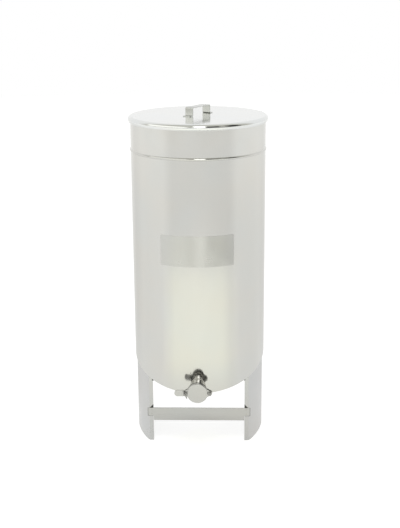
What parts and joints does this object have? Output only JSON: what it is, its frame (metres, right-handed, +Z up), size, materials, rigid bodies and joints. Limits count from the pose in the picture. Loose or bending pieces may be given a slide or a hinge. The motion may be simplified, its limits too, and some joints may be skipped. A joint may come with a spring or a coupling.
{
  "type": "honey settling tank",
  "caption": "Tall round sheet-steel tank on a stand, with a bottom sloping to a swing gate with a clamp, and a lift-off lid with a strap handle, for settling and bottling honey.",
  "frame": {"origin": "on the floor, in the middle of the footprint; the tank's axis stands 32.5 mm behind it", "axes": "+Z up along the tank's axis, -Y to the front, where the outlet points, +X to the right seen from the front"},
  "size_m": [0.4139, 0.479, 1.0148],
  "materials": {
    "polished_steel": "bright polished stainless sheet",
    "stand_steel": "satin stainless sheet",
    "handle_steel": "satin stainless strap",
    "gate_steel": "fine turned stainless steel",
    "seat_steel": "dull rough-turned stainless steel",
    "fastener_steel": "plain stainless steel",
    "seal_rubber": "smooth food-grade rubber"
  },
  "bodies": {
    "tank": {"tank_wall": "polished_steel", "tank_bottom": "polished_steel", "outlet_pipe": "gate_steel", "gate_seat": "seat_steel", "seat_seal": "seal_rubber", "pivot_bolt": "fastener_steel", "pivot_washer": "fastener_steel", "pivot_spring_washer": "fastener_steel", "pivot_nut": "fastener_steel", "clamp_bolt": "fastener_steel", "left_leg": "stand_steel", "right_leg": "stand_steel", "front_crossbar": "stand_steel"},
    "lid": {"lid_shell": "polished_steel", "lid_handle": "handle_steel"},
    "shutter": {"gate_shutter": "gate_steel"},
    "clamp_washer": {"clamp_washer": "fastener_steel"},
    "wing_nut": {"wing_nut": "fastener_steel"}
  },
  "joints": [
    {"name": "lid_lift", "type": "slide", "parent": "tank", "child": "lid", "axis": [0, 0, 1], "range_m": [0, 0.25]},
    {"name": "gate_swing", "type": "hinge", "parent": "tank", "child": "shutter", "pos_m": [0.03597, -0.224, 0.21363], "axis": [0, 1, 0], "range_deg": [0, 100]},
    {"name": "clamp_washer_slide", "type": "slide", "parent": "tank", "child": "clamp_washer", "axis": [0, -1, 0], "range_m": [0, 0.0031]},
    {"name": "wing_nut_turn", "type": "hinge", "parent": "clamp_washer", "child": "wing_nut", "pos_m": [-0.03597, -0.23175, 0.21363], "axis": [0, -1, 0], "range_deg": [0, 1080]}
  ],
  "couplings": [
    {"joint": "clamp_washer_slide", "follows": "wing_nut_turn", "m_per_rad": 0.00015915}
  ]
}
